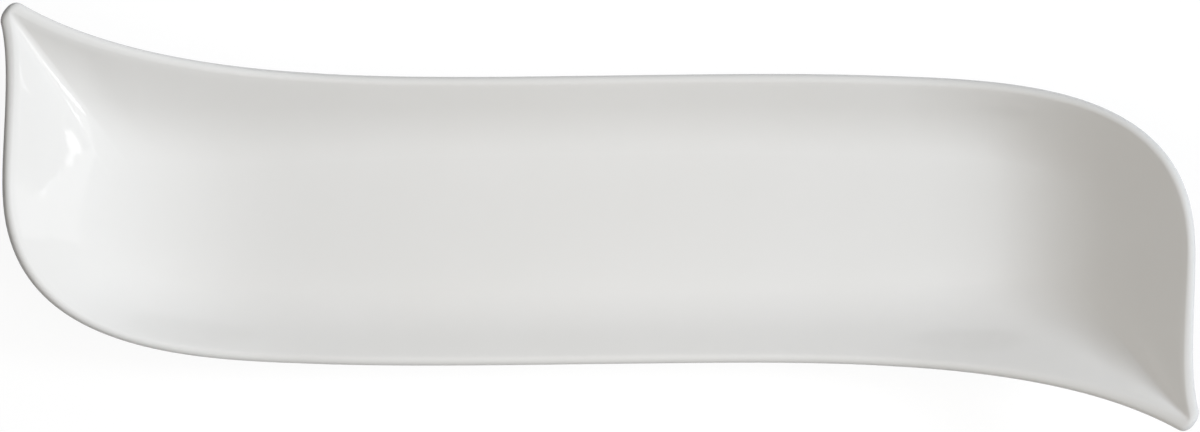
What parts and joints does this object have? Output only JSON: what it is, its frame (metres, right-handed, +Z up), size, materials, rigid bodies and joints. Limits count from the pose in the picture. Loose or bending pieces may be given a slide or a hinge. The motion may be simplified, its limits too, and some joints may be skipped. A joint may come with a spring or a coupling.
{
  "type": "asparagus plate",
  "caption": "Long S-curved white porcelain asparagus plate with coved walls, swept-up ends, raised horn tips and a bare oblong foot ring.",
  "frame": {"origin": "centre of the plate's plan, on the plane that the foot ring stands on", "axes": "+X along the length, +Z up out of the dish, +Y towards the long edge whose horn is at the -X end"},
  "size_m": [0.3998, 0.1432, 0.052],
  "materials": {
    "porcelain": "fired porcelain body under the glaze",
    "bare_foot": "bare fired porcelain, ground smooth and matt",
    "white_glaze": "glossy white glaze"
  },
  "bodies": {
    "root": {"porcelain_body": "porcelain", "foot_ring": "bare_foot", "glaze": "white_glaze", "recess_glaze": "white_glaze"}
  },
  "joints": []
}
